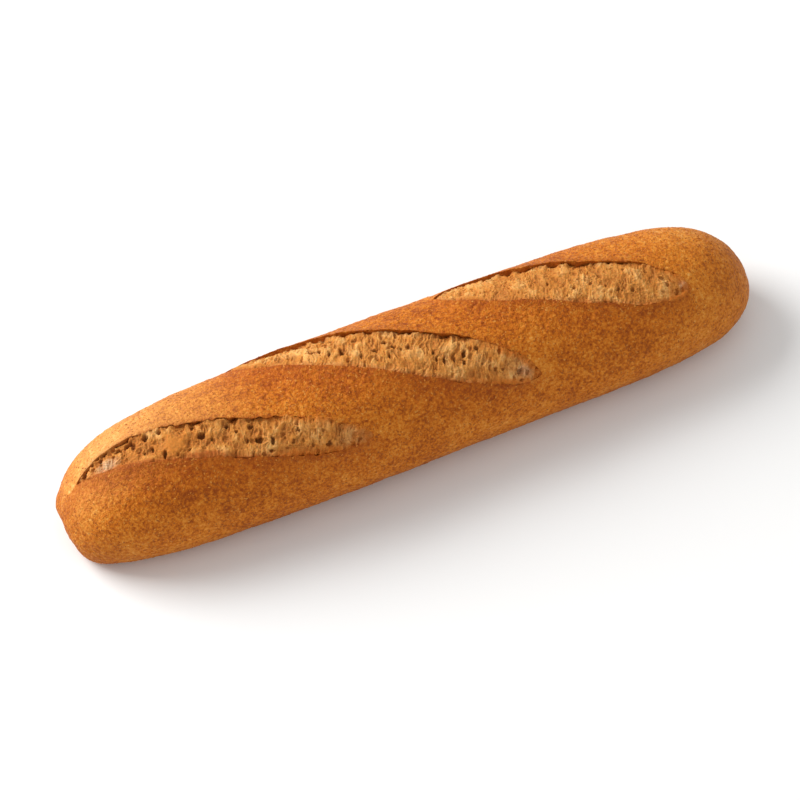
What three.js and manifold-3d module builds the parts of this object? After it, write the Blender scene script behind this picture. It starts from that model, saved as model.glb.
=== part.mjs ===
// A wholemeal half baguette, baked whole, with three long slanting slashes torn open across its top.
//
// Millimetres. +X runs along the loaf, -Y is its front, +Z is up and the flat base rests on z = 0.
// The crust is a box grid bent onto the loaf's rounded form. Each slash is a pocket taken out of the
// crust, with a torn bed of crumb and two raised crust lips set into it, so the whole is one solid.
import * as THREE from "three";
import { mergeVertices } from "three/addons/utils/BufferGeometryUtils.js";
import Module from "manifold-3d";

// The loaf
const LENGTH = 280;
const HALF_WIDTH = 29.6; // at the middle, before the swell
const HEIGHT = 44.6; // crown over base, before the swell
const WAIST = 0.4; // height of the widest line, as a share of the loaf's height
const UNDERCUT = 1.3; // how far the lower half would reach without the flat base, in waist heights
const UNDER_ROUND = 0.9; // under 1, the lower flanks run out fuller than an ellipse

// Its two ends: bluntness of the outline, slow taper towards it, and height of the tip in loaf heights
const LEFT_END = { blunt: 8.2, taper: 0.078, tip: 0.13 };
const RIGHT_END = { blunt: 7.5, taper: 0.06, tip: 0.225 };

// The loaf swells a little left of its middle, and its crust waves as a hand-rolled one does
const SWELL = { share: 0.035, x: -37.5, reach: 36 };
const WAVES = [
  { depth: 0.34, length: 150, turns: 1, phase: 1.1 },
  { depth: 0.22, length: 74, turns: 2, phase: 4.0 },
];

// Knobs and dents of the left end, where the dough was pinched off: middle, reach and rise in mm
const KNOBS = [
  { x: -139.6, y: 3, z: 5.5, reach: 4.6, rise: -3 },
  { x: -138.6, y: -5, z: 5, reach: 4.6, rise: -1.6 },
  { x: -132, y: -16, z: 4, reach: 8, rise: 1.2 },
  { x: -138, y: 10, z: 13, reach: 4.5, rise: 0.7 },
];

// The slashes, on the crust unrolled about its crown: x and across (positive to the front) of each
// one's middle, slant to the loaf's axis, length and full opening
const LEFT_SLASH = { x: -77.6, across: 8.3, slant: 20.2, length: 111, open: 14.2 };
const MIDDLE_SLASH = { x: -10.5, across: 0.8, slant: 27.2, length: 120, open: 17.2 };
const RIGHT_SLASH = { x: 64, across: -1.6, slant: 22.8, length: 98, open: 19 };
// and how far each bows away from the front, how far its left end hooks to the front, the bluntness of
// its opening's left and right ends, the shares of the way to its right end between which the step
// under its far lip closes, and how raggedly its crumb has torn
const SLASHES = [
  { ...LEFT_SLASH, bow: -0.4, hook: 4.6, blunt: [3.6, 4.2], closes: [0.1, 0.6], ragged: 1.35, seed: 3 },
  { ...MIDDLE_SLASH, bow: 2.2, hook: 0, blunt: [3.2, 4.3], closes: [0.4, 0.75], ragged: 1.0, seed: 11 },
  { ...RIGHT_SLASH, bow: 2, hook: 0, blunt: [3.8, 4.2], closes: [0.45, 0.8], ragged: 0.8, seed: 27 },
];
const HOOK_START = 0.15; // share of the way to a slash's left end at which it begins to hook
const CLOSED = 0.75; // how much of the far lip's height and of the crevice is gone where it has closed
const UNROLL_RADIUS = 29; // of the crust about its crown, for turning "across" into an angle

// A slash's cross-section
const LIP_REACH = 6.5; // width of the crust that a slash lifts on each side
const TIP_REACH = 1.5; // and past its two ends
const FAR_LIP = { rise: 1.5, overhang: 0.9 }; // the lip behind, which leans over the crumb
const NEAR_LIP = { rise: 0.8, overhang: 0.2 };
const CREVICE = { far: 2.2, near: 0.9, width: 1.3 }; // depth below the crust beside each lip
const CRUMB_SINK = 0.9; // depth of the crumb's middle below the crust
const CRUMB_LUMP = { rise: 0.75, along: 4.2, across: 7.5 }; // torn lumps, drawn out across the slash
const CRUMB_HOLE = { depth: 2.0, along: 3.1, across: 4.6, share: 0.72 }; // burst bubbles
const HIDDEN_EDGE = 0.5; // how far a slash body's outer edge lies under the crust
const POCKET_DEPTH = 6;
const POCKET_CLEAR = 9; // reach of the pocket's cutter above the crust
const BED_DEPTH = 9; // reach of the slash body below the crust, past the pocket's floor

// Grid steps
const CRUST_STEPS = { along: 56, over: 17, side: 9 };
const CAP_FULLNESS = 0.74; // where the end caps' own grid begins, as a share of the full section
const SLASH_STATIONS = 48;
const CRUMB_ROWS = 11;
const LIP_ROWS = 3;

const halfLength = LENGTH / 2;
const endOf = (x) => (x < 0 ? LEFT_END : RIGHT_END);

// Share of the full section left at x: 1 along the loaf, 0 at its tips.
function fullness(x) {
  return Math.sqrt(Math.max(0, 1 - Math.abs(x / halfLength) ** endOf(x).blunt));
}

// The x on one side of the loaf where the section has shrunk to a given fullness.
function stationOf(full, side) {
  return side * halfLength * (1 - full ** 2) ** (1 / endOf(side).blunt);
}

// Slow waves of the crust, in mm outwards, fading at the tips and towards the base.
function wave(x, angle) {
  const up = (1 + Math.cos(angle)) / 2;
  const sum = WAVES.reduce(
    (total, w) => total + w.depth * Math.sin((2 * Math.PI * x) / w.length + w.turns * angle + w.phase),
    0,
  );
  return sum * up;
}

// A point of the plain loaf. The angle turns from the crown, positive to the front.
function loafPoint(x, angle, full) {
  const end = endOf(x);
  const swell = 1 + SWELL.share * Math.exp(-(((x - SWELL.x) / SWELL.reach) ** 2)) - end.taper * (x / halfLength) ** 2;
  const waist = WAIST * HEIGHT * swell;
  const tip = end.tip * HEIGHT;
  const middle = tip + (waist - tip) * full;
  const ripple = wave(x, angle) * full;
  const cosine = Math.cos(angle);
  const y = -(HALF_WIDTH * swell * full + ripple) * Math.sin(angle);
  const z =
    cosine > 0
      ? middle + (HEIGHT * swell * (1 - WAIST) * full + ripple) * cosine
      : middle - WAIST * HEIGHT * UNDERCUT * full * Math.abs(cosine) ** UNDER_ROUND;
  return new THREE.Vector3(x, y, z);
}

// The same with the knobs and dents of its left end, each pushed out from the loaf's core.
function crustPoint(x, angle, full = fullness(x)) {
  const point = loafPoint(x, angle, full);
  if (x > -LENGTH / 4) return point;
  const core = new THREE.Vector3(-halfLength + HALF_WIDTH, 0, WAIST * HEIGHT);
  const outward = point.clone().sub(core).normalize();
  let push = 0;
  for (const knob of KNOBS) {
    const away = Math.hypot(point.x - knob.x, point.y - knob.y, point.z - knob.z);
    push += knob.rise * Math.exp(-((away / knob.reach) ** 2));
  }
  return point.addScaledVector(outward, push);
}

// The crust's outward normal.
function crustNormal(x, angle) {
  const step = 0.01;
  const along = crustPoint(x + step, angle).sub(crustPoint(x - step, angle));
  const around = crustPoint(x, angle + step).sub(crustPoint(x, angle - step));
  return around.cross(along).normalize();
}

// Smooth lumps from 0 to 1 with no repeat, one about every unit of u and v.
function lumps(u, v, seed) {
  const corner = (i, j) => {
    const raw = Math.sin(i * 127.1 + j * 311.7 + seed * 74.7) * 43758.5453;
    return raw - Math.floor(raw);
  };
  const [i, j] = [Math.floor(u), Math.floor(v)];
  const ease = (t) => t * t * (3 - 2 * t);
  const [a, b] = [ease(u - i), ease(v - j)];
  const near = corner(i, j) * (1 - a) + corner(i + 1, j) * a;
  const far = corner(i, j + 1) * (1 - a) + corner(i + 1, j + 1) * a;
  return near * (1 - b) + far * b;
}

// How far the bowed middle line of a slash lies behind its straight chord.
function bend(slash, along) {
  const share = (2 * along) / slash.length;
  const towardsTip = THREE.MathUtils.clamp((-share - HOOK_START) / (1 - HOOK_START), 0, 1);
  return slash.bow * (1 - share ** 2) - slash.hook * towardsTip ** 1.5;
}

// Half of a slash's opening at a distance along it, for an opening and length of that size.
function halfOpening(slash, along, open, length) {
  const share = Math.min(1, Math.abs((2 * along) / length));
  const blunt = slash.blunt[along < 0 ? 0 : 1];
  return (open / 2) * (1 - share ** blunt) ** 0.75;
}

// The share of the step under the far lip that is left, from 1 along the slash to 0 at its right end.
function step(slash, along) {
  return 1 - THREE.MathUtils.smoothstep((2 * along) / slash.length, ...slash.closes);
}

// A point given along and across a slash and above the crust.
function slashPoint(slash, along, across, height) {
  const slant = THREE.MathUtils.degToRad(slash.slant);
  const bowed = across - bend(slash, along);
  const x = slash.x + along * Math.cos(slant) - bowed * Math.sin(slant);
  const angle = (slash.across + along * Math.sin(slant) + bowed * Math.cos(slant)) / UNROLL_RADIUS;
  return crustPoint(x, angle).addScaledVector(crustNormal(x, angle), height);
}

// Height of the torn crumb above the crust, at a share (0 far lip, 1 near lip) of the opening.
function crumbHeight(slash, along, share, open) {
  const far = CREVICE.far * (1 - CLOSED * (1 - step(slash, along)));
  const bed = far + (CREVICE.near - far) * share;
  const crown = Math.sin(Math.PI * share ** 1.15) ** 0.6;
  const across = share * open;
  const lump = lumps(along / CRUMB_LUMP.along, across / CRUMB_LUMP.across, slash.seed) - 0.5;
  const hole = lumps(along / CRUMB_HOLE.along, across / CRUMB_HOLE.across, slash.seed + 50);
  const burst = Math.max(0, hole - CRUMB_HOLE.share) / (1 - CRUMB_HOLE.share);
  const torn = slash.ragged * crown * (2 * CRUMB_LUMP.rise * lump - CRUMB_HOLE.depth * burst);
  return -bed + (bed - CRUMB_SINK) * crown + torn;
}

// One closed section across a slash: its outer edges, lips and crumb from far to near, then its bed.
function slashSection(slash, along) {
  const outer = halfOpening(slash, along, slash.open + 2 * LIP_REACH, slash.length + 2 * TIP_REACH) + 0.8;
  const inner = Math.max(0.4, halfOpening(slash, along, slash.open, slash.length));
  const openness = inner / (slash.open / 2);
  const lift = Math.min(1, 1.6 * openness);
  const points = [];
  const lipRows = (lip, side) => {
    const closed = side < 0 ? 1 - step(slash, along) : 0;
    const rise = lip.rise * lift * (1 - CLOSED * closed);
    const rows = [];
    for (let i = 0; i < LIP_ROWS; i++) {
      const share = i / LIP_ROWS;
      const climb = share ** 1.3;
      const across = outer + (inner - outer) * share;
      rows.push([side * across, -HIDDEN_EDGE + (rise + HIDDEN_EDGE) * climb]);
    }
    rows.push([side * (inner - lip.overhang * openness * (1 - closed)), rise]);
    return rows;
  };
  points.push(...lipRows(FAR_LIP, -1));
  const crevice = Math.min(CREVICE.width, inner / 3) * openness;
  const [from, to] = [-inner + 0.2 * crevice, inner - 0.2 * crevice];
  for (let i = 0; i < CRUMB_ROWS; i++) {
    const share = i / (CRUMB_ROWS - 1);
    const height = crumbHeight(slash, along, share, 2 * inner) * openness - 0.25 * (1 - openness);
    points.push([from + (to - from) * share, height]);
  }
  points.push(...lipRows(NEAR_LIP, 1).reverse());
  points.push([outer, -BED_DEPTH], [0, -BED_DEPTH], [-outer, -BED_DEPTH]);
  return points.map(([across, height]) => slashPoint(slash, along, across, height));
}

// One closed section of the pocket that a slash's body fills.
function pocketSection(slash, along) {
  const half = halfOpening(slash, along, slash.open, slash.length) + 0.6;
  const corners = [
    [-half, POCKET_CLEAR],
    [half, POCKET_CLEAR],
    [half, -POCKET_DEPTH],
    [-half, -POCKET_DEPTH],
  ];
  return corners.map(([across, height]) => slashPoint(slash, along, across, height));
}

// A closed body skinned over like sections, with a fan over each end.
function loft(sections) {
  const size = sections[0].length;
  const points = sections.flat();
  const index = [];
  for (let k = 0; k + 1 < sections.length; k++)
    for (let i = 0; i < size; i++) {
      const [a, b] = [k * size + i, k * size + ((i + 1) % size)];
      index.push(a, b, a + size, b, b + size, a + size);
    }
  const fan = (start, last) => {
    const centre = new THREE.Vector3();
    for (let i = 0; i < size; i++) centre.addScaledVector(points[start + i], 1 / size);
    points.push(centre);
    for (let i = 0; i < size; i++) {
      const [a, b] = [start + i, start + ((i + 1) % size)];
      index.push(...(last ? [b, points.length - 1, a] : [a, points.length - 1, b]));
    }
  };
  fan(0, false);
  fan((sections.length - 1) * size, true);
  return new THREE.BufferGeometry().setFromPoints(points).setIndex(index);
}

// The sections of a slash's pocket or body, closer together near its ends.
function slashLoft(slash, section, length) {
  const sections = [];
  for (let k = 0; k <= SLASH_STATIONS; k++) {
    const t = (2 * k) / SLASH_STATIONS - 1;
    const along = (length / 2) * (0.8 * t + 0.2 * Math.sin((Math.PI / 2) * t));
    sections.push(section(slash, along));
  }
  return loft(sections);
}

// A box grid bent onto the loaf: its sides make the long flanks and its ends the two caps.
function crustGeometry() {
  const steps = CRUST_STEPS;
  const geometry = new THREE.BoxGeometry(2, 2, 2, steps.along, steps.over, steps.side);
  geometry.deleteAttribute("normal");
  geometry.deleteAttribute("uv");
  const grid = geometry.getAttribute("position");
  const caps = { left: -stationOf(CAP_FULLNESS, -1), right: stationOf(CAP_FULLNESS, 1) };
  for (let i = 0; i < grid.count; i++) {
    const [gx, gy, gz] = [grid.getX(i), grid.getY(i), grid.getZ(i)];
    const [across, up] = [gy * Math.sqrt(1 - gz ** 2 / 2), gz * Math.sqrt(1 - gy ** 2 / 2)];
    const angle = Math.atan2(-across, up);
    const reach = Math.min(1, Math.hypot(across, up));
    const x = gx * (gx < 0 ? caps.left : caps.right);
    const onCap = Math.abs(gx) > 1 - 1e-6 && reach < 1 - 1e-6;
    const point = onCap
      ? crustPoint(stationOf(reach * CAP_FULLNESS, Math.sign(gx)), angle, reach * CAP_FULLNESS)
      : crustPoint(x, angle);
    grid.setXYZ(i, point.x, point.y, point.z);
  }
  return geometry;
}

const wasm = await Module();
wasm.setup();

// A closed three.js geometry as a solid that can be joined and cut.
function solid(geometry) {
  const merged = mergeVertices(geometry, 1e-4);
  return new wasm.Manifold(
    new wasm.Mesh({
      numProp: 3,
      vertProperties: merged.getAttribute("position").array,
      triVerts: new Uint32Array(merged.index.array),
    }),
  );
}

// What lies below the table, which gives the loaf its flat base.
function belowTable() {
  const slab = new THREE.BoxGeometry(2 * LENGTH, LENGTH, HEIGHT);
  slab.deleteAttribute("normal");
  slab.deleteAttribute("uv");
  return solid(slab.translate(0, 0, -HEIGHT / 2));
}

function loafGeometry() {
  let loaf = solid(crustGeometry());
  for (const slash of SLASHES) {
    loaf = loaf.subtract(solid(slashLoft(slash, pocketSection, slash.length)));
    loaf = loaf.add(solid(slashLoft(slash, slashSection, slash.length + 2 * TIP_REACH)));
  }
  const { vertProperties, triVerts, numProp } = loaf.subtract(belowTable()).getMesh();
  const geometry = new THREE.BufferGeometry();
  geometry.setAttribute("position", new THREE.BufferAttribute(vertProperties, numProp));
  geometry.setIndex(new THREE.BufferAttribute(triVerts, 1));
  geometry.computeBoundingBox();
  const centre = geometry.boundingBox.getCenter(new THREE.Vector3());
  geometry.translate(-centre.x, -centre.y, 0);
  geometry.computeVertexNormals();
  return geometry;
}

const crust = new THREE.MeshStandardMaterial({ color: 0xb4682a, roughness: 0.75, metalness: 0 });
const loaf = new THREE.Mesh(loafGeometry(), crust);
loaf.name = "loaf";

const baguette = new THREE.Group();
baguette.add(loaf);
export default baguette;
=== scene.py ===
"""A short wholemeal baguette, baked whole, with long slanting slashes torn open across its crust."""
import math

import bmesh
import bpy
import numpy as np
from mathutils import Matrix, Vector


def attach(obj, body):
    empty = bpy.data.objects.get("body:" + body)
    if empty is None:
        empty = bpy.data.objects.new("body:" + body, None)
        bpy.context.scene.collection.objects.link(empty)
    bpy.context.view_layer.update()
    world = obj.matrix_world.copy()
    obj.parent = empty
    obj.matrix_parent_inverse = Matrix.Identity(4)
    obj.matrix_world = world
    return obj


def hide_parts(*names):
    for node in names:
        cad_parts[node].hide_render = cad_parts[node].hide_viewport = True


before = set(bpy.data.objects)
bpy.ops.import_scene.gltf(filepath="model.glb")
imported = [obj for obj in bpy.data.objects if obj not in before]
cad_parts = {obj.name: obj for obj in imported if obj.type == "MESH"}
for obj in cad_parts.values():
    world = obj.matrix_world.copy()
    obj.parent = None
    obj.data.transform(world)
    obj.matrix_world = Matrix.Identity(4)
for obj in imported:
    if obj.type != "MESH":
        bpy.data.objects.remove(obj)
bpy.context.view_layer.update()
scene = bpy.context.scene

# The set: a pale matt table top, one large soft window low behind the left end of the loaf,
# a weak one in front, and a camera that looks down on the loaf along a long lens.
MM = 0.001
TABLE_SIZE = 6.0
CAMERA = {
    "turn": -24.53, "height": 55.0, "distance": 1.650, "target": (-0.0061, -0.0053, 0.020),
    "lens": 200.0, "sensor": 36.0, "sees_to": 20.0,
}
WINDOWS = {
    "key window": {"turn": 223.0, "height": 34.0, "distance": 1.8, "size": 1.25, "watts": 41.5},
    "front window": {"turn": 30.0, "height": 40.0, "distance": 1.6, "size": 1.4, "watts": 2.0},
}
SKY_STRENGTH = 0.58


def linear(hex_colour):
    """An sRGB hex colour as the linear RGBA that the shader nodes take."""
    channels = [int(hex_colour[i : i + 2], 16) / 255 for i in (1, 3, 5)]
    return tuple(c / 12.92 if c <= 0.04045 else ((c + 0.055) / 1.055) ** 2.4 for c in channels) + (1.0,)


def towards(turn, height):
    """The unit direction from the loaf to something at a turn about Z (0 = in front) and a height angle."""
    a, e = math.radians(turn), math.radians(height)
    return Vector((math.sin(a) * math.cos(e), -math.cos(a) * math.cos(e), math.sin(e)))


def add(tree, kind, links=None, stops=(), **settings):
    """A node with its settings; links maps its input sockets to a value or to another node's output, and
    stops are the places and hex colours of a colour ramp, between 0 and 1."""
    node = tree.nodes.new(kind)
    for position, colour in stops:
        node.color_ramp.elements.new(position).color = linear(colour)
    if stops:
        node.color_ramp.elements.remove(node.color_ramp.elements[0])
        node.color_ramp.elements.remove(node.color_ramp.elements[-1])
    for name, value in settings.items():
        setattr(node, name, value)
    for socket, value in (links or {}).items():
        if isinstance(value, bpy.types.NodeSocket):
            tree.links.new(value, node.inputs[socket])
        else:
            node.inputs[socket].default_value = value
    return node


camera = bpy.data.objects.new("camera", bpy.data.cameras.new("camera"))
camera.data.lens, camera.data.sensor_width = CAMERA["lens"], CAMERA["sensor"]
camera.data.clip_end = CAMERA["sees_to"]
aim = towards(CAMERA["turn"], CAMERA["height"])
camera.location = Vector(CAMERA["target"]) + aim * CAMERA["distance"]
camera.rotation_euler = aim.to_track_quat("Z", "Y").to_euler()
scene.collection.objects.link(camera)
scene.camera = camera

for name, window in WINDOWS.items():
    lamp = bpy.data.objects.new(name, bpy.data.lights.new(name, "AREA"))
    lamp.data.size, lamp.data.energy = window["size"], window["watts"]
    direction = towards(window["turn"], window["height"])
    lamp.location = direction * window["distance"]
    lamp.rotation_euler = direction.to_track_quat("Z", "Y").to_euler()
    scene.collection.objects.link(lamp)

scene.world = bpy.data.worlds.new("studio")
scene.world.use_nodes = True
sky = scene.world.node_tree.nodes["Background"]
sky.inputs["Color"].default_value = (1, 1, 1, 1)
sky.inputs["Strength"].default_value = SKY_STRENGTH
scene.view_settings.view_transform = "Standard"

table_mesh = bpy.data.meshes.new("table")
half = TABLE_SIZE / 2
corners = [(-half, -half, 0), (half, -half, 0), (half, half, 0), (-half, half, 0)]
table_mesh.from_pydata(corners, [], [(0, 1, 2, 3)])
table = bpy.data.objects.new("table", table_mesh)
scene.collection.objects.link(table)
paint = bpy.data.materials.new("matt white table paint")
paint.use_nodes = True
paint.node_tree.nodes["Principled BSDF"].inputs["Base Color"].default_value = linear("#f4f4f3")
paint.node_tree.nodes["Principled BSDF"].inputs["Roughness"].default_value = 0.85
table.data.materials.append(paint)

# The crust: the baked outside of the loaf, dry and brittle, a little over a millimetre thick.
# The loaf is rolled to a rounded bar with a flat base; three slashes cut with a blade open in the
# oven, and each leaves a lifted lip on both sides, the back one leaning over the crumb.
LENGTH, HALF_WIDTH, HEIGHT = 280.0, 29.6, 44.6  # all sizes of the loaf are in mm
WAIST, UNDERCUT, UNDER_ROUND = 0.4, 1.3, 0.9
BLUNT, TAPER, TIP = (8.2, 7.5), (0.078, 0.06), (0.13, 0.225)  # at the left end and at the right one
SWELL, SWELL_X, SWELL_REACH = 0.035, -37.5, 36.0
WAVES = ((0.34, 150.0, 1, 1.1), (0.22, 74.0, 2, 4.0))  # depth, length, turns about the loaf, phase
# Knobs and dents of the left end, where the dough was pinched off: middle, reach and rise.
KNOBS = (
    ((-139.6, 3, 5.5), 4.6, -3.0), ((-138.6, -5, 5), 4.6, -1.6),
    ((-132, -16, 4), 8.0, 1.2), ((-138, 10, 13), 4.5, 0.7),
)
RELIEF = ((0.22, 11.0), (0.1, 4.3), (0.12, 1.9))  # height and width of the lumps of the skin
UNROLL_RADIUS = 29.0  # of the round that turns a distance across the loaf into an angle about its crown
SLASHES = {
    "left": {"x": -77.6, "across": 8.3, "slant": 20.2, "length": 111, "open": 14.2, "bow": -0.4, "hook": 4.6,
             "blunt": (3.6, 4.2), "closes": (0.1, 0.6), "toasted": 1.0, "ragged": 1.5},
    "middle": {"x": -10.5, "across": 0.8, "slant": 27.2, "length": 120, "open": 17.2, "bow": 2.2, "hook": 0,
               "blunt": (3.2, 4.3), "closes": (0.4, 0.75), "toasted": 0.85, "ragged": 1.0},
    "right": {"x": 64, "across": -1.6, "slant": 22.8, "length": 98, "open": 19.0, "bow": 2.0, "hook": 0,
              "blunt": (3.8, 4.2), "closes": (0.45, 0.8), "toasted": 0.5, "ragged": 1.0},
}
HOOK_START = 0.15  # share of the way to a slash's left end at which it begins to turn to the front
CLOSED = 0.75  # how much of the far lip's height is gone where the step under it has closed
LIPS = {
    "far": {"rise": 1.3, "reach": 4.6, "undercut": 0.8},
    "near": {"rise": 1.1, "reach": 3.6, "undercut": 0.3},
}
LIPS_END = 2.2  # the angle from the crown, in radians, past which no slash lifts or browns the crust
LIP_BROWN = 2.0  # how far from a torn edge its brown fades
TORN = ((0.42, 7.0, 0), (0.3, 1.9, 5))  # how far a lip strays, over what length, and its row of noise
TOASTED_BAND = 12.0  # how far in front of an opened slash the crust is browner
TAIL = {"past": 1.5, "reach": 7.0, "half_width": 4.5}  # the stretched pale skin past a slash's right end
LEFT_END, RIGHT_END = (-55, 65), (78, 50)  # where each end of the loaf begins to pale, and over what length; at the left end partly as painted sheen
UPPER_BACK = {"above": 16, "over": 20, "behind": -14, "within": 16}  # in Z and in Y, where the left end pales: its upper back, paler partly as painted sheen
BASE = {"rises": 15, "more": 14, "left_of": -105, "over": 25}  # how high the base is darker brown: partly the baked base, partly painted shade, higher at the left end
CUT_WALL = {"depth": (-0.6, 0.8), "angle": 1.8, "nearness": 0.4}  # what tells a cut wall from the skin
CRUST_STEP, SLIVER = 0.8, 0.01
GIRTH_STEPS = (46, 40)  # mm of skin across and up that are cut into steps
CAP_FULLNESS = 0.74  # the skin's end caps begin where the loaf is this full
SHARP = 38  # degrees between two faces from which an edge is a crisp one
# The cutter of a slash: how deep and how high it reaches, its stations and how they crowd to its ends, how
# far it opens, the flutes of its far side, and the heights at which its two sides turn.
POCKET = {
    "depth": 6.0, "clear": 8.0, "stations": 260, "crowded": 0.14, "wider": 0.12, "narrowest": 0.2,
    "flute": 0.3, "flute_length": 1.3, "near_edge": 0.4, "far_foot": -1.4, "far_step": 0.1, "far_edge": 0.9,
}


def lattice(shape, seed):
    """Random values from 0 to 1 at whole-number grid points."""
    total = sum(c * k for c, k in zip(shape, (127.1, 311.7, 74.7))) + seed * 19.19
    raw = np.sin(total) * 43758.5453
    return raw - np.floor(raw)


def noise(points, seed):
    """Smooth noise from -1 to 1 at points whose columns are already divided by the size of a lump."""
    cell = np.floor(points)
    part = points - cell
    ease = part**3 * (part * (part * 6 - 15) + 10)
    total = np.zeros(len(points))
    for corner in range(2 ** points.shape[1]):
        bits = [(corner >> k) & 1 for k in range(points.shape[1])]
        weight = np.prod([ease[:, k] if bit else 1 - ease[:, k] for k, bit in enumerate(bits)], axis=0)
        total += weight * lattice([cell[:, k] + bit for k, bit in enumerate(bits)], seed)
    return 2 * total - 1


def fullness(x, least=0.0):
    """How full the loaf is, from 1 along its middle to 0 at its tips."""
    return np.sqrt(np.clip(1 - np.abs(2 * x / LENGTH) ** np.where(x > 0, BLUNT[1], BLUNT[0]), least, 1))


def swelling(x, full):
    """How far the loaf has swollen at x, and the height of its waist there."""
    taper, tip = (np.where(x > 0, pair[1], pair[0]) for pair in (TAPER, TIP))
    swell = 1 + SWELL * np.exp(-(((x - SWELL_X) / SWELL_REACH) ** 2)) - taper * (2 * x / LENGTH) ** 2
    return swell, tip * HEIGHT + (WAIST * HEIGHT * swell - tip * HEIGHT) * full


def loaf_point(x, angle, full=None):
    """Points of the loaf before it is slashed. The angle turns from the crown, positive to the front."""
    if full is None:
        full = fullness(x)
    swell, middle = swelling(x, full)
    cosine = np.cos(angle)
    waves = (d * np.sin(2 * np.pi * x / run + k * angle + phase) for d, run, k, phase in WAVES)
    ripple = sum(waves) * ((1 + cosine) / 2) * full
    y = -(HALF_WIDTH * swell * full + ripple) * np.sin(angle)
    top = middle + (HEIGHT * swell * (1 - WAIST) * full + ripple) * cosine
    under = middle - WAIST * HEIGHT * UNDERCUT * full * np.abs(cosine) ** UNDER_ROUND
    points = np.stack([x, y, np.where(cosine > 0, top, under)], 1)
    core = np.array([HALF_WIDTH - LENGTH / 2, 0, WAIST * HEIGHT])
    outward = points - core
    outward /= np.linalg.norm(outward, axis=1, keepdims=True)
    push = sum(up * np.exp(-(np.linalg.norm(points - at, axis=1) / reach) ** 2) for at, reach, up in KNOBS)
    return points + outward * (push * (x < -LENGTH / 4))[:, None]


def loaf_normal(x, angle):
    """The outward normals of the loaf before it is slashed."""
    step = 0.01
    x = np.clip(x, -LENGTH / 2 + 0.1, LENGTH / 2 - 0.1)
    along = loaf_point(x + step, angle) - loaf_point(x - step, angle)
    around = loaf_point(x, angle + step) - loaf_point(x, angle - step)
    normal = np.cross(around, along)
    return normal / np.maximum(np.linalg.norm(normal, axis=1, keepdims=True), 1e-9)


def bend(slash, along):
    """How far the bowed middle line of a slash lies behind its straight chord."""
    u = 2 * along / slash["length"]
    hook = slash["hook"] * np.clip((-u - HOOK_START) / (1 - HOOK_START), 0, 1) ** 1.5
    return slash["bow"] * (1 - u**2) - hook


def unrolled(slash, x, angle):
    """How far points lie along a slash, and across it from its bowed middle line."""
    slant = math.radians(slash["slant"])
    dx, dq = x - slash["x"], angle * UNROLL_RADIUS - slash["across"]
    along = dx * math.cos(slant) + dq * math.sin(slant)
    across = -dx * math.sin(slant) + dq * math.cos(slant)
    return along, across + bend(slash, along)


def rolled(slash, along, across):
    """The x and angle of points given along and across a slash."""
    slant = math.radians(slash["slant"])
    across = across - bend(slash, along)
    x = slash["x"] + along * math.cos(slant) - across * math.sin(slant)
    return x, (slash["across"] + along * math.sin(slant) + across * math.cos(slant)) / UNROLL_RADIUS


def half_opening(slash, along):
    """How far a slash has opened to each side of its middle line."""
    share = np.minimum(1, np.abs(2 * along / slash["length"]))
    blunt = np.where(along < 0, *slash["blunt"])
    return slash["open"] / 2 * (1 - share**blunt) ** 0.75


def far_step(slash, along):
    """The share of the step under a far lip that is left, from 1 along the slash to 0 at its right end."""
    start, end = slash["closes"]
    t = np.clip((2 * along / slash["length"] - start) / (end - start), 0, 1)
    return 1 - t * t * (3 - 2 * t)


def ragged(slash, along, side, seed):
    """How far a torn lip strays from the smooth line of its slash, in mm."""
    strays = sum(far * noise(np.stack([along / run, np.full_like(along, side + row)], 1), seed)
                 for far, run, row in TORN)
    return slash["ragged"] * strays * np.minimum(1, half_opening(slash, along) / 3)


def lift(x, angle):
    """How far the lips of all slashes raise the crust, in mm, and how close points are to a lip and to the
    well baked band in front of one, both from 0 to 1."""
    raised, nearness, band = np.zeros(len(x)), np.zeros(len(x)), np.zeros(len(x))
    for slash in SLASHES.values():
        along, across = unrolled(slash, x, angle)
        half = half_opening(slash, along)
        past = np.maximum(0, np.abs(along) - slash["length"] / 2)
        away = np.hypot(np.maximum(0, np.abs(across) - half), past)
        upper = np.abs(angle) < LIPS_END
        openness = np.sqrt(half / (slash["open"] / 2)) * upper
        closed = 1 - far_step(slash, along)
        rise = np.where(across < 0, LIPS["far"]["rise"] * (1 - CLOSED * closed), LIPS["near"]["rise"])
        reach = np.where(across < 0, LIPS["far"]["reach"], LIPS["near"]["reach"])
        raised = np.maximum(raised, rise * openness * np.exp(-((away / reach) ** 1.5)))
        faded = np.where(across < 0, 1 - 0.6 * closed, 1)
        nearness = np.maximum(nearness, faded * np.minimum(1, 1.6 * openness) * np.exp(-away / LIP_BROWN))
        front = np.exp(-((away / TOASTED_BAND) ** 2)) * (across > 0) * upper
        band = np.maximum(band, slash["toasted"] * front * np.clip(1.2 - past / 8, 0, 1) * (1 - 0.4 * closed))
    return raised, nearness, band


def mesh_piece(name, points_mm, faces, smooth=True):
    """A linked mesh object from points in mm and lists of vertex numbers."""
    mesh = bpy.data.meshes.new(name)
    mesh.from_pydata((np.asarray(points_mm) * MM).tolist(), [], faces)
    mesh.validate()
    if smooth:
        mesh.shade_smooth()
    piece = bpy.data.objects.new(name, mesh)
    scene.collection.objects.link(piece)
    return piece


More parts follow.
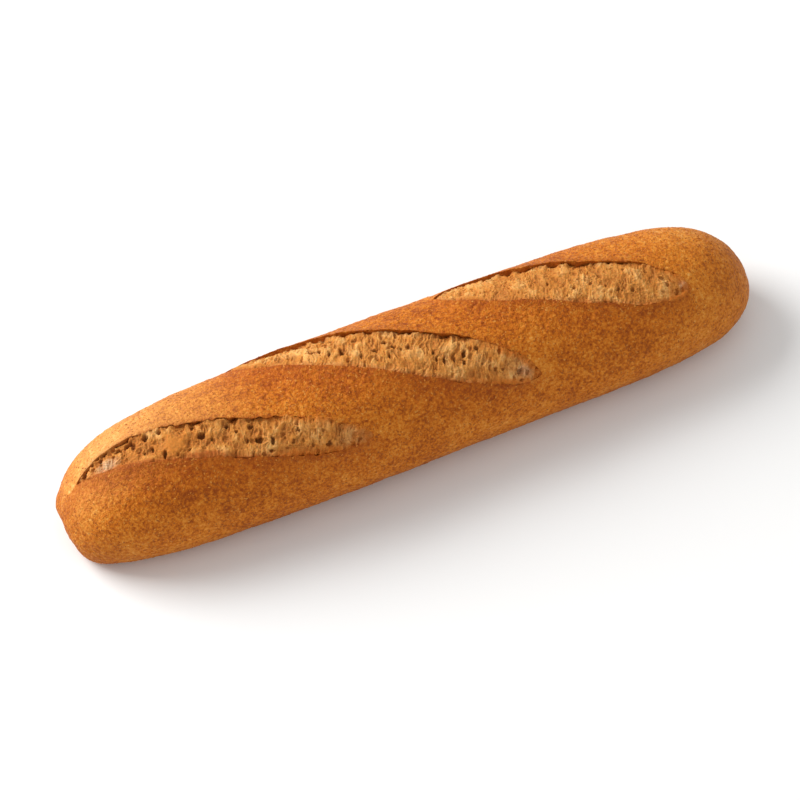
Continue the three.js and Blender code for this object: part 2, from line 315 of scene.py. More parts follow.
def box_grid(along, over, side):
    """The points and quads of a cube from -1 to 1, cut into that many steps along X, Y and Z."""
    steps = (along, over, side)
    points, quads, start = [], [], 0
    for axis in range(3):
        b, c = (axis + 1) % 3, (axis + 2) % 3
        for sign in (-1, 1):
            places = (np.linspace(-1, 1, steps[k] + 1) for k in (b, c))
            u, v = np.meshgrid(*places, indexing="ij")
            patch = np.zeros((u.size, 3))
            patch[:, axis], patch[:, b], patch[:, c] = sign, u.ravel(), v.ravel()
            index = start + np.arange(u.size).reshape(u.shape)
            quad = np.stack([index[:-1, :-1], index[1:, :-1], index[1:, 1:], index[:-1, 1:]], -1)
            quads.append(quad.reshape(-1, 4)[:, ::sign])
            points.append(patch)
            start += u.size
    points, quads = np.concatenate(points), np.concatenate(quads)
    _, first, inverse = np.unique(np.round(points, 7), axis=0, return_index=True, return_inverse=True)
    return points[first], inverse.ravel()[quads]


def station_of(full, side):
    """The x, towards the left end (side -1) or the right one (1), at which the loaf is that full."""
    return side * LENGTH / 2 * (1 - full**2) ** (1 / np.where(side > 0, BLUNT[1], BLUNT[0]))


grid, quads = box_grid(*(round(size / CRUST_STEP) for size in (LENGTH, *GIRTH_STEPS)))
across, up = grid[:, 1] * np.sqrt(1 - grid[:, 2] ** 2 / 2), grid[:, 2] * np.sqrt(1 - grid[:, 1] ** 2 / 2)
angle, reach = np.arctan2(-across, up), np.minimum(1, np.hypot(across, up))
on_cap = (np.abs(grid[:, 0]) > 1 - 1e-6) & (reach < 1 - 1e-6)
side = np.sign(grid[:, 0] + 1e-12)
cap_full = reach * CAP_FULLNESS
x = np.where(on_cap, station_of(cap_full, side), grid[:, 0] * side * station_of(CAP_FULLNESS, side))
points = loaf_point(x, angle, np.where(on_cap, cap_full, fullness(x)))
lips, _, _ = lift(x, angle)
relief = sum(high * noise(points / wide, seed) for seed, (high, wide) in enumerate(RELIEF, 1))
points += loaf_normal(x, angle) * (lips + relief)[:, None]
points[:, 2] = np.maximum(points[:, 2], 0)
crust = mesh_piece("crust", points, quads.tolist())


def loft(name, rings):
    """A closed body skinned over rings of equally many points."""
    count, size = len(rings), len(rings[0])
    faces = []
    for k in range(count - 1):
        for i in range(size):
            a, b = k * size + i, k * size + (i + 1) % size
            faces.append((a, b, b + size, a + size))
    faces.append(tuple(range(size))[::-1])
    faces.append(tuple((count - 1) * size + i for i in range(size)))
    return mesh_piece(name, np.concatenate(rings), faces, smooth=False)


def outward(slash, along, across, height):
    """Points in mm at that place on a slash and that height over the unslashed crust."""
    x, angle = rolled(slash, along, across)
    return loaf_point(x, angle) + loaf_normal(x, angle) * np.broadcast_to(height, x.shape)[:, None]


def pocket(name, slash, seed):
    """The cutter that opens a slash: sheer at the front lip and cut back under the far one."""
    t = np.linspace(-1, 1, POCKET["stations"])
    along = slash["length"] / 2 * ((1 - POCKET["crowded"]) * t + POCKET["crowded"] * np.sin(np.pi / 2 * t))
    half = half_opening(slash, along) + POCKET["wider"]
    openness = half / (slash["open"] / 2)
    far, near = -half + ragged(slash, along, 0, seed), half + ragged(slash, along, 9, seed)
    near = np.maximum(near, far + POCKET["narrowest"])
    under_far, under_near = (LIPS[k]["undercut"] * openness for k in ("far", "near"))
    under_far = under_far * far_step(slash, along)
    row = np.stack([along / POCKET["flute_length"], np.full_like(along, 3)], 1)
    flutes = POCKET["flute"] * noise(row, seed + 2) * openness
    rows = [
        outward(slash, along, far, POCKET["clear"]),
        outward(slash, along, near, POCKET["clear"]),
        outward(slash, along, near, POCKET["near_edge"]),
        outward(slash, along, near + under_near, -POCKET["depth"]),
        outward(slash, along, far - under_far, -POCKET["depth"]),
        outward(slash, along, far - under_far + flutes, POCKET["far_foot"]),
        outward(slash, along, far - 0.3 * under_far + flutes, POCKET["far_step"]),
        outward(slash, along, far, POCKET["far_edge"]),
    ]
    return loft(name, list(np.stack(rows, 1)))


for number, (name, slash) in enumerate(SLASHES.items()):
    cutter = pocket(f"pocket_{name}", slash, 31 + number)
    cut = crust.modifiers.new("pocket", "BOOLEAN")
    cut.operation, cut.solver, cut.object = "DIFFERENCE", "MANIFOLD", cutter
    state = bpy.context.evaluated_depsgraph_get()
    cut_mesh = bpy.data.meshes.new_from_object(crust.evaluated_get(state))
    crust.modifiers.clear()
    old, crust.data = crust.data, cut_mesh
    bpy.data.meshes.remove(old)
    bpy.data.meshes.remove(cutter.data)
crust.data.name = "crust"
# The cuts leave slivers along the rims of the slashes. They are merged away, and the skin stays closed.
skin = bmesh.new()
skin.from_mesh(crust.data)
for _ in range(2):
    bmesh.ops.triangulate(skin, faces=[face for face in skin.faces if len(face.verts) > 4])
    bmesh.ops.dissolve_degenerate(skin, dist=SLIVER * MM, edges=skin.edges[:])
bmesh.ops.triangulate(skin, faces=skin.faces[:])
skin.to_mesh(crust.data)
skin.free()
crust.data.shade_smooth()
crust.data.set_sharp_from_angle(angle=math.radians(SHARP))


def unbent(points):
    """The x and angle about the crown of points on or near the loaf."""
    x = np.clip(points[:, 0], -LENGTH / 2 + 0.5, LENGTH / 2 - 0.5)
    full = fullness(x, 1e-3)
    swell, middle = swelling(x, full)
    rise = (points[:, 2] - middle) / (HEIGHT * swell * (1 - WAIST) * full)
    return x, np.arctan2(-points[:, 1] / (HALF_WIDTH * swell * full), rise)


def store(mesh, name, values):
    """Keeps one value for each point of a mesh, for its material to read."""
    attribute = mesh.attributes.new(name, "FLOAT", "POINT")
    attribute.data.foreach_set("value", np.asarray(values, dtype=np.float32))


def ramp(values, start, length):
    """0 up to a start, and from there up to 1 over a length."""
    return np.clip((values - start) / length, 0, 1)


flat = np.empty(len(crust.data.vertices) * 3, dtype=np.float32)
crust.data.vertices.foreach_get("co", flat)
points = flat.reshape(-1, 3).astype(float) / MM
x, angle = unbent(points)
_, nearness, band = lift(x, angle)
depth = np.einsum("ij,ij->i", loaf_point(x, angle) - points, loaf_normal(x, angle))
store(crust.data, "lip", nearness)
store(crust.data, "toasted", band)
# The upper back of the left end, which faces the key window, is paler: partly a paler bake, partly painted
# sheen.
high = ramp(points[:, 2], UPPER_BACK["above"], UPPER_BACK["over"])
high *= ramp(points[:, 1], UPPER_BACK["behind"], UPPER_BACK["within"])
store(crust.data, "left_end_pale_and_sheen", ramp(-x, -LEFT_END[0], LEFT_END[1]) * high * (1 - 0.6 * band))
store(crust.data, "right_end", ramp(x, *RIGHT_END) * (1 - band))
tails = np.zeros(len(x))
for slash in SLASHES.values():
    along, across = unrolled(slash, x, angle)
    away = np.hypot((along - slash["length"] / 2 - TAIL["past"]) / TAIL["reach"], across / TAIL["half_width"])
    tails = np.maximum(tails, np.exp(-(away**2)) * (np.abs(angle) < LIPS_END))
store(crust.data, "tail", tails)
store(crust.data, "inside", ramp(depth, *CUT_WALL["depth"]) * (np.abs(angle) < CUT_WALL["angle"])
      * (nearness > CUT_WALL["nearness"]))
# Darker towards the table, and higher up at the left end: partly the browner baked base, partly painted
# shade.
base_brown_and_shade_up_to = BASE["rises"] + BASE["more"] * ramp(-x, -BASE["left_of"], BASE["over"])
store(crust.data, "base", np.clip(1 - points[:, 2] / base_brown_and_shade_up_to, 0, 1))

bake = bpy.data.materials.new("baked wholemeal crust")
# A dry crust browned by the oven: matt to satin and orange-brown, mottled with ground bran; browner where
# it rose in front of a slash, darkest at torn lips, and paler at the ends and where a slash runs out. The
# upper back of the left end is paler partly as painted sheen, and the lower parts darker partly as painted
# shade.
bake.use_nodes = True
tree = bake.node_tree
shader = tree.nodes["Principled BSDF"]
place = add(tree, "ShaderNodeTexCoord").outputs["Object"]
# Patches that the oven browned, clumps of bran, single flecks of it, and the grit of the flour, in mm.
broad = add(tree, "ShaderNodeTexNoise", {"Vector": place, "Scale": 1 / (24 * MM), "Detail": 2.0})
patch = add(tree, "ShaderNodeTexNoise", {"Vector": place, "Scale": 1 / (4 * MM), "Detail": 2.0})
speck = add(tree, "ShaderNodeTexNoise",
            {"Vector": place, "Scale": 1 / (1.2 * MM), "Detail": 2.0, "Roughness": 0.6})
grain = add(tree, "ShaderNodeTexNoise", {"Vector": place, "Scale": 1 / (0.45 * MM), "Detail": 1.0})
tone = 0.5
# The tone goes paler on the upper back of the left end, partly as painted sheen.
for name, paler in (("toasted", -0.09), ("left_end_pale_and_sheen", 0.2), ("right_end", 0.06), ("tail", 0.1)):
    where = add(tree, "ShaderNodeAttribute", attribute_name=name).outputs["Fac"]
    tone = add(tree, "ShaderNodeMath", {0: where, 1: paler, 2: tone}, operation="MULTIPLY_ADD").outputs[0]
for source, weight in ((broad, 0.42), (patch, 0.48), (speck, 0.95), (grain, 0.35)):
    part = add(tree, "ShaderNodeMath", {0: source.outputs["Fac"], 1: 0.5}, operation="SUBTRACT").outputs[0]
    tone = add(tree, "ShaderNodeMath", {0: part, 1: weight, 2: tone}, operation="MULTIPLY_ADD").outputs[0]
browned = ((0.26, "#904209"), (0.5, "#c56b12"), (0.74, "#dc8c30"), (0.95, "#eab266"))
colour = add(tree, "ShaderNodeValToRGB", {"Fac": tone}, stops=browned).outputs["Color"]
# How far each place goes towards a colour of its own: its attribute, the most of it, and the colour.
tints = (
    # The left end's pale tint is partly painted sheen on its upper back.
    ("left_end_pale_and_sheen", 0.3, "#e6bc7c"), ("right_end", 0.15, "#d08836"), ("toasted", 0.4, "#a84c08"),
    # The base tint is partly painted shade on the lower parts.
    ("base", 0.45, "#8f4f16"), ("lip", 0.45, "#8a3f0c"), ("inside", 0.8, "#bc6a26"),
)
for name, most, tint in tints:
    where = add(tree, "ShaderNodeAttribute", attribute_name=name).outputs["Fac"]
    share = add(tree, "ShaderNodeMath", {0: where, 1: most}, operation="MULTIPLY").outputs[0]
    mix = add(tree, "ShaderNodeMix", {0: share, 6: colour, 7: linear(tint)}, data_type="RGBA")
    colour = mix.outputs[2]
tree.links.new(colour, shader.inputs["Base Color"])
shader.inputs["Roughness"].default_value = 0.62
shader.inputs["Specular IOR Level"].default_value = 0.14
pebble = add(tree, "ShaderNodeTexNoise",
             {"Vector": place, "Scale": 1 / (1.5 * MM), "Detail": 2.0, "Roughness": 0.55}).outputs["Fac"]
height = add(tree, "ShaderNodeMath", {0: grain.outputs["Fac"], 1: 0.3, 2: pebble}, operation="MULTIPLY_ADD")
bump = add(tree, "ShaderNodeBump", {"Height": height.outputs[0], "Strength": 1.0, "Distance": 0.9 * MM})
tree.links.new(bump.outputs["Normal"], shader.inputs["Normal"])
crust.data.materials.clear()
crust.data.materials.append(bake)
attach(crust, "root")
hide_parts("loaf")

# Bran in the crust: flat chips of the husk of the grain, ground with the flour, that lie in the surface
# and stand a tenth of a millimetre proud of it. Some are pale, and some toasted dark in the oven.
BRAN = {
    "bran_pale": {"per_cm2": 18, "shortest": 0.3, "longest": 1.15, "seed": 4, "hues": ("#bd6c1e", "#cb8434")},
    "bran_dark": {"per_cm2": 24, "shortest": 0.3, "longest": 1.05, "seed": 9, "hues": ("#91490f", "#a85f1c")},
}
BRAN_WIDTH, BRAN_THICKNESS = (0.4, 0.8), 0.2  # shares of a chip's length
BRAN_DENT, BRAN_TILT = 0.9, 0.16  # how uneven a chip is, for its length, and how far it tips, in radians
BARE_BELOW = 1.0  # no chip lies nearer than this to the table
ON_SKIN = 0.02  # and none where a place is more than this share of a cut wall

scatter = bpy.data.node_groups.new("scatter bran", "GeometryNodeTree")
for name, kind in (("Crust", "Geometry"), ("Chips per square metre", "Float"), ("Shortest", "Float"),
                   ("Longest", "Float"), ("Seed", "Int"), ("Material", "Material")):
    scatter.interface.new_socket(name, in_out="INPUT", socket_type=f"NodeSocket{kind}")
scatter.interface.new_socket("Bran", in_out="OUTPUT", socket_type="NodeSocketGeometry")
given = add(scatter, "NodeGroupInput").outputs
lies = add(scatter, "GeometryNodeInputPosition").outputs[0]
above = add(scatter, "ShaderNodeSeparateXYZ", {0: lies}).outputs["Z"]
off_base = add(scatter, "FunctionNodeCompare",
               {0: above, 1: BARE_BELOW * MM}, operation="GREATER_THAN").outputs[0]
inside = add(scatter, "GeometryNodeInputNamedAttribute", {"Name": "inside"}, data_type="FLOAT").outputs[0]
outside = add(scatter, "FunctionNodeCompare", {0: inside, 1: ON_SKIN}, operation="LESS_THAN").outputs[0]
bare = add(scatter, "FunctionNodeBooleanMath", {0: off_base, 1: outside}).outputs[0]
spread = add(scatter, "GeometryNodeDistributePointsOnFaces", {
    "Mesh": given["Crust"], "Selection": bare, "Density": given["Chips per square metre"],
    "Seed": given["Seed"]}).outputs
ball = add(scatter, "GeometryNodeMeshIcoSphere", {"Radius": 0.5, "Subdivisions": 1}).outputs["Mesh"]
rough = add(scatter, "ShaderNodeTexNoise", {"Scale": 1.7, "Detail": 0.0}).outputs["Color"]
dent = add(scatter, "ShaderNodeVectorMath", {0: rough, 1: (0.5, 0.5, 0.5)}, operation="SUBTRACT").outputs[0]
dent = add(scatter, "ShaderNodeVectorMath", {0: dent, "Scale": BRAN_DENT}, operation="SCALE").outputs[0]
chip = add(scatter, "GeometryNodeSetPosition", {"Geometry": ball, "Offset": dent}).outputs[0]
long = add(scatter, "FunctionNodeRandomValue",
           {2: given["Shortest"], 3: given["Longest"], "Seed": given["Seed"]}, data_type="FLOAT").outputs[1]
wide = add(scatter, "FunctionNodeRandomValue",
           {2: BRAN_WIDTH[0], 3: BRAN_WIDTH[1], "Seed": 1}, data_type="FLOAT").outputs[1]
form = add(scatter, "ShaderNodeCombineXYZ", {0: 1.0, 1: wide, 2: BRAN_THICKNESS}).outputs[0]
form = add(scatter, "ShaderNodeVectorMath", {0: form, "Scale": long}, operation="SCALE").outputs[0]
laid = add(scatter, "GeometryNodeInstanceOnPoints", {
    "Points": spread["Points"], "Instance": chip, "Rotation": spread["Rotation"], "Scale": form}).outputs[0]
least, most = (-BRAN_TILT, -BRAN_TILT, 0.0), (BRAN_TILT, BRAN_TILT, 2 * math.pi)
turn = add(scatter, "FunctionNodeRandomValue",
           {0: least, 1: most, "Seed": 2}, data_type="FLOAT_VECTOR").outputs[0]
laid = add(scatter, "GeometryNodeRotateInstances", {"Instances": laid, "Rotation": turn}).outputs[0]
real = add(scatter, "GeometryNodeRealizeInstances", {"Geometry": laid}).outputs[0]
husks = add(scatter, "GeometryNodeSetMaterial", {"Geometry": real, "Material": given["Material"]}).outputs[0]
add(scatter, "NodeGroupOutput", {"Bran": husks})
socket_of = {item.name: item.identifier for item in scatter.interface.items_tree if item.in_out == "INPUT"}
sown = bpy.data.objects.new("sown crust", crust.data)
scene.collection.objects.link(sown)

for name, bran in BRAN.items():
    husk = bpy.data.materials.new(name.replace("_", " ") + " chips")
    # Wheat husk: dry, papery and matt, each chip a little lighter or darker than the next.
    husk.use_nodes = True
    tree = husk.node_tree
    shader = tree.nodes["Principled BSDF"]
    place = add(tree, "ShaderNodeTexCoord").outputs["Object"]
    between = add(tree, "ShaderNodeTexNoise", {"Vector": place, "Scale": 1 / (2.5 * MM), "Detail": 1.0})
    stops = tuple(zip((0.35, 0.65), bran["hues"]))
    shade = add(tree, "ShaderNodeValToRGB", {"Fac": between.outputs["Fac"]}, stops=stops)
    tree.links.new(shade.outputs["Color"], shader.inputs["Base Color"])
    shader.inputs["Roughness"].default_value = 0.7
    shader.inputs["Specular IOR Level"].default_value = 0.25
    sow = sown.modifiers.new("bran", "NODES")
    sow.node_group = scatter
    inputs = {"Chips per square metre": bran["per_cm2"] * 1e4, "Shortest": bran["shortest"] * MM,
              "Longest": bran["longest"] * MM, "Seed": bran["seed"], "Material": husk}
    for socket, value in inputs.items():
        sow[socket_of[socket]] = value
    chips = bpy.data.meshes.new_from_object(sown.evaluated_get(bpy.context.evaluated_depsgraph_get()))
    sown.modifiers.remove(sow)
    for kept in ("lip", "toasted", "left_end_pale_and_sheen", "right_end", "tail", "inside", "base"):
        if kept in chips.attributes:
            chips.attributes.remove(chips.attributes[kept])
    chips.name = name
    piece = bpy.data.objects.new(name, chips)
    scene.collection.objects.link(piece)
    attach(piece, "root")
bpy.data.objects.remove(sown)

# The crumb in each slash: the inside of the loaf, a foam of stretched bubbles that tore open as the slash
# spread, with toasted skins in places; its high parts are painted paler as painted highlight and its hollows
# darker as painted shade. It swells up between the lips and runs in under them.
CRUMB_STEP = 0.19
CRUMB_DEPTH = 7.0
# How far the crumb runs in under each lip, and how it sinks there: by how much, from where, over what.
UNDER = {
    "far": {"runs": 1.6, "sinks": 0.8, "from": 0.5, "over": 1.1},
    "near": {"runs": 0.9, "sinks": 1.2, "from": 0.25, "over": 0.65},
}
# Lumps of the torn surface: their height, their size along and across the slash, and their seed.
HANGING = ((1.3, 3.6, 6.0, 25), (0.5, 1.3, 3.0, 26))
SWAY = ((1.1, 5.0, 6.0, 0), (0.4, 1.6, 2.2, 9))
SWAY_ACROSS = ((0.7, 2.4, 2.4, 15),)
SKIN_EDGE = ((0.3, 1.3, 1.3, 31),)
BURST_EDGE = ((0.42, 0.9, 1.1, 21), (0.2, 0.45, 0.5, 22))
SWELLINGS = ((0.4, 5.5, 5.0, 3),)
KNOBBLES = ((0.25, 1.9, 2.6, 13), (0.07, 0.5, 0.55, 4))
FIBRES = ((0.13, 0.5, 2.8, 1),)
STRANDS = ((1.0, 1.5, 6.0, 6), (0.7, 0.8, 3.5, 7))
EDGE_OF_BLEND = ((1.2, 1.7, 2.6, 33),)
# Height of the crumb over the unslashed crust: at the strands that hang on the far lip, between them,
# where the step under that lip has closed, at the crown and at the near lip.
CRUMB_LEVEL = {
    "left": {"strand": 1.3, "gap": -0.7, "closed": 0.4, "crown": 0.4, "near": 0.5},
    "middle": {"strand": 0.5, "gap": -1.2, "closed": 0.35, "crown": 0.4, "near": 0.5},
    "right": {"strand": 0.4, "gap": -0.9, "closed": 0.35, "crown": 0.4, "near": 0.5},
}
# The bubbles of the foam in each slash: their size along it, how far they are stretched across it, and
# how deep the largest go, all in mm but the stretch.
FOAM = {
    "left": ((1.6, 1.7, 0.8), (0.8, 1.6, 0.45)),
    "middle": ((1.5, 2.0, 0.75), (0.75, 1.8, 0.4)),
    "right": ((1.4, 1.2, 0.5), (0.75, 1.2, 0.35)),
}
PALER = {"left": -0.11, "middle": 0.09, "right": 0.0}  # how much paler the crumb of each slash is
BURST_DEPTH = {"left": 1.0, "middle": 1.0, "right": 0.75}  # of the largest burst bubbles, for their width
BURST_DEEPEST = 2.4
# The largest burst bubbles: distance along the slash, share of the way across it, and their width along
# and across it, all in mm but the share.
PORES = {
    "left": (
        (-51.8, 0.3, 3.0, 3.6), (-49.5, 0.1, 1.8, 1.6), (-45.8, 0.3, 1.4, 3.0), (-44.5, 0.1, 2.8, 1.4),
        (-39, 0.28, 2.6, 2.4), (-40.8, 0.45, 1.4, 1.4), (-34.8, 0.2, 3.2, 2.6), (-33, 0.3, 1.4, 2.6),
        (-28.6, 0.18, 2.1, 2.8), (-29, 0.68, 1.2, 1.4), (-26, 0.55, 1.4, 2.6), (-23.8, 0.12, 1.8, 1.6),
        (-21.8, 0.8, 1.4, 2.6), (-11.6, 0.12, 1.5, 2.0), (-8.4, 0.38, 3.4, 2.6), (-4.4, 0.5, 1.6, 1.6),
        (1.3, 0.17, 2.2, 2.2), (4.6, 0.33, 1.4, 1.2), (9.6, 0.22, 2.0, 1.8), (13, 0.58, 2.8, 2.4),
        (8.6, 0.6, 1.0, 1.8), (17.8, 0.62, 1.7, 3.0), (17.4, 0.86, 2.2, 1.4), (26.7, 0.35, 1.8, 1.8),
        (25.4, 0.65, 1.4, 1.8), (28.8, 0.62, 0.9, 1.6), (32.5, 0.77, 1.2, 1.8), (38.9, 0.75, 2.2, 2.2),
        (36.5, 0.36, 1.2, 1.6), (50, 0.75, 1.5, 1.8),
    ),
    "middle": (
        (-36.4, 0.08, 3.0, 1.2), (-32, 0.16, 1.8, 1.5), (-27, 0.6, 2.6, 2.3), (-24, 0.56, 1.5, 2.3),
        (-27.4, 0.28, 2.2, 1.2), (-22.3, 0.3, 2.2, 1.2), (-20.4, 0.18, 1.8, 1.2), (-20, 0.64, 1.1, 3.0),
        (-15.3, 0.58, 1.9, 3.4), (-11.4, 0.24, 1.8, 1.5), (-8.3, 0.7, 1.5, 1.9), (-3.6, 0.54, 2.2, 1.2),
        (0, 0.31, 1.8, 1.5), (3.4, 0.41, 2.2, 1.4), (6.3, 0.45, 1.1, 1.2), (2.2, 0.65, 0.9, 2.2),
        (9, 0.39, 1.1, 1.9), (17.9, 0.45, 1.1, 2.2), (19.6, 0.59, 1.1, 2.2), (22.3, 0.59, 1.1, 2.6),
        (29.2, 0.37, 1.9, 2.6), (29.7, 0.58, 1.5, 1.9), (26, 0.53, 1.1, 1.9), (33.5, 0.2, 1.9, 1.5),
        (42.4, 0.13, 1.5, 1.9), (36.3, 0.53, 1.1, 1.5), (41.6, 0.59, 1.5, 1.5), (44.4, 0.6, 1.1, 1.5),
        (50.8, 0.57, 1.9, 2.3), (54, 0.57, 1.5, 1.9), (57.3, 0.2, 1.1, 1.9), (52.2, 0.9, 1.9, 1.2),
    ),
    "right": (
        (-26, 0.2, 3.0, 1.2), (-6, 0.58, 1.1, 2.3), (-0.8, 0.08, 1.1, 1.5), (4.8, 0.06, 1.9, 1.2),
        (9.9, 0.56, 1.5, 1.5), (15.5, 0.6, 1.0, 1.2), (3.7, 0.68, 1.2, 1.6), (20.2, 0.67, 1.6, 1.9),
        (25.8, 0.65, 1.5, 1.9), (37.4, 0.3, 2.2, 1.9), (38.8, 0.45, 1.9, 2.3), (37.5, 0.7, 1.4, 1.6),
        (43, 0.7, 1.9, 2.7), (45.2, 0.62, 1.1, 2.3),
    ),
}
# Places where the tear kept a smooth skin: distance along, share across, width along and across, rise,
# and how well toasted the skin is.
SKINS = {
    "left": (
        (-18.0, 0.6, 7.5, 9.0, 1.0, 0.0), (-6.5, 0.93, 14.0, 3.4, 0.6, 1.0),
        (-33.0, 0.97, 18.0, 2.4, 0.4, 0.8),
    ),
    "middle": ((-50.0, 0.8, 12.0, 3.0, 0.4, 0.0), (49.0, 0.95, 9.0, 2.2, 0.4, 0.3)),
    "right": ((-35.0, 0.9, 12.0, 2.6, 0.3, 0.0), (44.0, 0.95, 8.0, 2.4, 0.4, 0.3)),
}
# Places where the crumb tore white: distance along, share across, and width along and across.
WHITE = {
    "left": ((-43.0, 0.68, 8.0, 5.0),),
    "middle": ((53.0, 0.5, 5.0, 4.0),),
    "right": ((45.5, 0.35, 3.5, 3.5),),
}


def lumps(along, across, rows, seed):
    """The sum of rows of lumps at places on a slash."""
    return sum(high * noise(np.stack([along / long, across / wide], 1), seed + own)
               for high, long, wide, own in rows)


def within(slash_half, along, across, at, share_at, long, wide):
    """How far points lie from the middle of an oval on a slash, where its edge is at 1."""
    return np.hypot((along - at) / (long / 2), (across - (2 * share_at - 1) * slash_half) / (wide / 2))


def foam(along, across, size, stretch, seed):
    """How deep points lie in bubbles torn open, from 0 at a wall between two of them to 1."""
    u, v = along / size, across / (size * stretch)
    nearest, second, pick = np.full(len(u), 9.0), np.full(len(u), 9.0), np.zeros(len(u))
    for du in (-1, 0, 1):
        for dv in (-1, 0, 1):
            cell = (np.floor(u) + du, np.floor(v) + dv)
            jitter_u, jitter_v, number = (lattice(cell, seed + k) for k in (0, 11, 23))
            away = np.hypot(u - cell[0] - 0.1 - 0.8 * jitter_u, v - cell[1] - 0.1 - 0.8 * jitter_v)
            closer = away < nearest
            second = np.where(closer, nearest, np.minimum(second, away))
            pick = np.where(closer, number, pick)
            nearest = np.minimum(nearest, away)
    bowl = np.clip((second - nearest - 0.04) / 0.5, 0, 1)
    return np.sqrt(bowl) * np.clip((pick - 0.25) / 0.75, 0, 1) ** 1.3


def crumb_relief(name, slash, along, share, across, seed):
    """The torn crumb: its height over the unslashed crust in mm, and from 0 to 1 how deep each point is in
    the foam and in a large burst bubble, for painted shade, how smooth and how toasted a skin it has, how
    high it stands, for painted highlight and shade, and where it lies between two strands."""
    level = CRUMB_LEVEL[name]
    hangs = np.clip(0.5 + lumps(along, across, HANGING, seed), 0, 1)
    far = level["gap"] + (level["strand"] - level["gap"]) * hangs
    far += (level["closed"] - far) * (1 - far_step(slash, along))
    climb = 1 - (1 - np.clip(share / 0.35, 0, 1)) ** 2.4
    base = far + (level["crown"] - far) * climb + (level["near"] - level["crown"]) * share**2
    sway = lumps(along, across, SWAY, seed)
    sway_across = lumps(along, across, SWAY_ACROSS, seed)
    half = half_opening(slash, along)
    skin, rise, flaky = np.zeros(len(along)), np.zeros(len(along)), np.zeros(len(along))
    for *oval, up, toast in SKINS[name]:
        away = within(half, along + 0.6 * sway, across, *oval)
        patch = np.clip(1.5 - away + lumps(along, across, SKIN_EDGE, seed), 0, 1)
        skin, rise = np.maximum(skin, patch), np.maximum(rise, up * patch)
        flaky = np.maximum(flaky, toast * patch)
    open_share = 1 - 0.85 * skin * (1 - 0.6 * flaky)
    depth = sum(deep * open_share * foam(along + sway, across + sway_across, size, stretch, seed + 40 + 3 * k)
                for k, (size, stretch, deep) in enumerate(FOAM[name]))
    pores, burst = np.clip(depth, 0, 1), np.zeros(len(along))
    wobble = lumps(along, across, BURST_EDGE, seed)
    for at, share_at, long, wide in PORES[name]:
        away = within(half, along + 0.25 * sway, across, at, share_at, long, wide) + wobble
        hole = np.clip(1.25 - away, 0, 0.7) / 0.7
        width = math.sqrt(long * wide)
        strength = BURST_DEPTH[name] * (0.75 + 0.25 * far_step(slash, along)) * hole
        depth = np.maximum(depth, min(BURST_DEEPEST, 0.95 * width) * strength)
        burst = np.maximum(burst, min(1, width / 2.2) * strength)
    fine = lumps(along, across, KNOBBLES, seed) + lumps(along + sway, across, FIBRES, seed)
    relief = lumps(along, across, SWELLINGS, seed) + open_share * fine
    strand = lumps(along + sway, across, STRANDS, seed)
    height = base + rise + relief - depth
    # Painted shade: the pores of the foam and the burst bubbles are painted darker the deeper they go.
    shades = {"pore": pores, "burst": burst, "skin": skin, "flaky": flaky,
              "relief": np.clip(0.5 + PALER[name] + relief, 0, 1),
              "strand": np.clip(0.5 + 0.8 * strand, 0, 1)}
    return height, shades


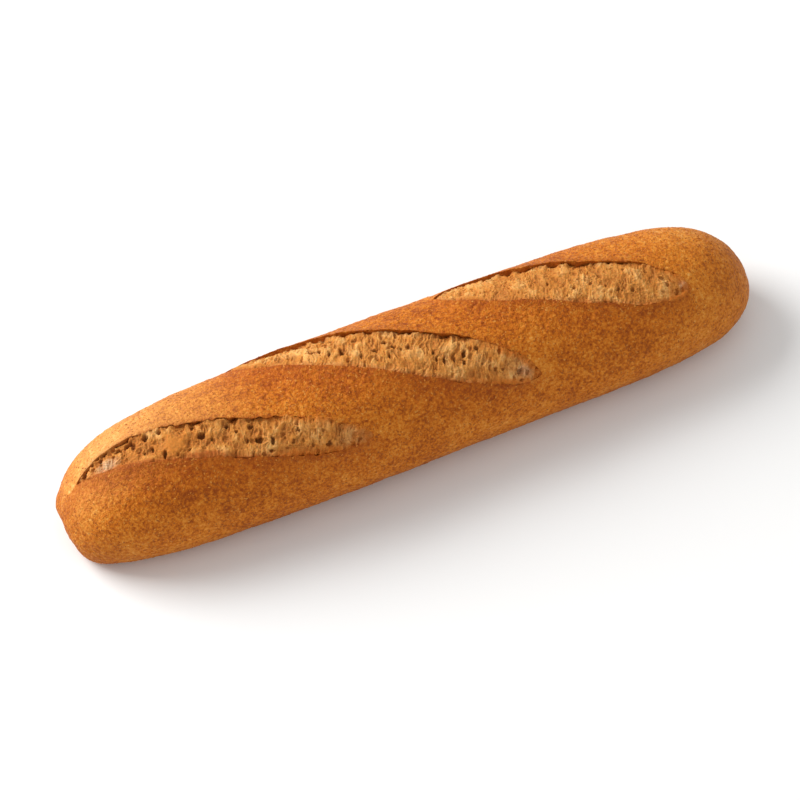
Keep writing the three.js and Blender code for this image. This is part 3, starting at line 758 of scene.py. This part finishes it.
crumbs = []
for number, (name, slash) in enumerate(SLASHES.items()):
    seed = 100 + 17 * number
    rows = round((slash["open"] + 3) / CRUMB_STEP)
    stations = round((slash["length"] + 1) / CRUMB_STEP)
    t, w = np.meshgrid(np.linspace(-1, 1, stations + 1), np.linspace(0, 1, rows + 1), indexing="ij")
    along = (slash["length"] / 2 + 0.4) * t.ravel()
    half = half_opening(slash, along)
    low, high = -half - UNDER["far"]["runs"], half + UNDER["near"]["runs"]
    across = low + (high - low) * w.ravel()
    share = (across + half) / np.maximum(2 * half, 0.5)
    height, shades = crumb_relief(name, slash, along, share, across, seed)
    openness = np.clip(half / 2.5, 0, 1)
    height = height * (0.5 + 0.5 * openness) - (0.1 + 0.8 * far_step(slash, along)) * (1 - openness)
    closed = 1 - far_step(slash, along)
    far, near = UNDER["far"], UNDER["near"]
    height -= near["sinks"] * ramp(across - half, near["from"], near["over"])
    height -= far["sinks"] * ramp(-half - across, far["from"] * closed, far["over"])
    top = outward(slash, along, across, height)
    bottom = outward(slash, along, across, -CRUMB_DEPTH)
    index = np.arange(t.size).reshape(t.shape)
    quads = np.stack([index[:-1, :-1], index[:-1, 1:], index[1:, 1:], index[1:, :-1]], -1).reshape(-1, 4)
    ring = np.concatenate([index[0, :], index[1:, -1], index[-1, -2::-1], index[-2:0:-1, 0]])
    turned = np.roll(ring, -1)
    # The hidden bottom is one fan, because its rim needs the same points as the top's.
    n = t.size
    walls = [(int(a), n + i, n + (i + 1) % len(ring), int(b)) for i, (a, b) in enumerate(zip(ring, turned))]
    fan = [(n + (i + 1) % len(ring), n + i, n + len(ring)) for i in range(len(ring))]
    piece = mesh_piece(f"crumb_{name}", np.concatenate([top, bottom[ring], bottom.mean(0)[None]]),
                       quads.tolist() + walls + fan)
    far_end = np.clip((along - 0.36 * slash["length"]) / 8, 0, 1)
    fringe = np.clip(1 - np.minimum((half - across) / 2.2, (slash["length"] / 2 - np.abs(along)) / 6), 0, 1)
    to_edge = np.minimum(half - np.abs(across), (slash["length"] / 2 - np.abs(along)) / 3.5)
    to_edge += lumps(along, across, EDGE_OF_BLEND, seed)
    blend = np.clip(1.15 - to_edge / 2.6, 0, 1) * closed
    white = np.zeros(len(along))
    for oval in WHITE[name]:
        white = np.maximum(white, np.clip(1.4 - within(half, along, across, *oval), 0, 1))
    # Painted shade: the crumb just under the far lip is darker.
    under_lip = np.clip(1.1 - (half + across) / 1.8, 0, 1) * (1 - closed) / slash["ragged"] ** 2
    floury = far_end * (name != "right")
    shades.update(fringe=fringe, white=white, blend=blend, floury=floury, under_lip=under_lip)
    for attribute, values in shades.items():
        hidden = np.full(len(ring) + 1, attribute in ("pore", "burst"))
        store(piece.data, attribute, np.concatenate([values, hidden]))
    crumbs.append(piece)

torn = bpy.data.materials.new("torn wholemeal crumb")
# The opened inside of the bread: dry, matt and tan, light passes a little way into it; hollows, burst
# bubbles and the crumb under the far lip are darker as painted shade, higher crumb is paler as painted
# highlight, toasted skins are orange, and the shallow right ends are dusted with flour.
torn.use_nodes = True
tree = torn.node_tree
shader = tree.nodes["Principled BSDF"]
place = add(tree, "ShaderNodeTexCoord").outputs["Object"]
# Painted highlight and shade: the higher the crumb stands, the paler it is painted; each slash is also a
# little paler or darker.
relief_shading_and_tone = add(tree, "ShaderNodeAttribute", attribute_name="relief")
ridges_lit_hollows_shaded = ((0.2, "#ba7532"), (0.5, "#cf8b40"), (0.8, "#e1a860"))
colour = add(tree, "ShaderNodeValToRGB", {"Fac": relief_shading_and_tone.outputs["Fac"]}, stops=ridges_lit_hollows_shaded).outputs["Color"]
# The tints for pores, burst bubbles and the crumb under the far lip are painted shade.
tints = (
    ("strand", 0.5, "#c4782a"), ("skin", 0.75, "#c4792c"), ("flaky", 0.7, "#a2521c"),
    ("fringe", 0.6, "#a9561c"), ("floury", 0.3, "#b79668"), ("white", 0.65, "#dfc19a"),
    ("pore", 0.75, "#92521e"), ("under_lip", 0.45, "#8f4e1e"), ("burst", 0.85, "#6a3712"),
    ("blend", 0.9, "#bd6a1e"),
)
for name, most, tint in tints:
    where = add(tree, "ShaderNodeAttribute", attribute_name=name).outputs["Fac"]
    share = add(tree, "ShaderNodeMath", {0: where, 1: most}, operation="MULTIPLY").outputs[0]
    mix = add(tree, "ShaderNodeMix", {0: share, 6: colour, 7: linear(tint)}, data_type="RGBA")
    colour = mix.outputs[2]
speck = add(tree, "ShaderNodeTexNoise", {"Vector": place, "Scale": 1 / (0.8 * MM), "Detail": 3.0})
value = add(tree, "ShaderNodeMapRange", {
    "Value": speck.outputs["Fac"], "From Min": 0.3, "From Max": 0.7, "To Min": 0.86, "To Max": 1.12})
shade = add(tree, "ShaderNodeHueSaturation", {"Color": colour, "Value": value.outputs[0]})
tree.links.new(shade.outputs["Color"], shader.inputs["Base Color"])
shader.inputs["Roughness"].default_value = 0.8
shader.inputs["Specular IOR Level"].default_value = 0.2
shader.inputs["Subsurface Weight"].default_value = 0.25
shader.inputs["Subsurface Radius"].default_value = (1.0, 0.45, 0.2)
shader.inputs["Subsurface Scale"].default_value = 0.8 * MM
bump = add(tree, "ShaderNodeBump", {"Height": speck.outputs["Fac"], "Strength": 0.4, "Distance": 0.25 * MM})
tree.links.new(bump.outputs["Normal"], shader.inputs["Normal"])
for piece in crumbs:
    piece.data.materials.append(torn)
    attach(piece, "root")
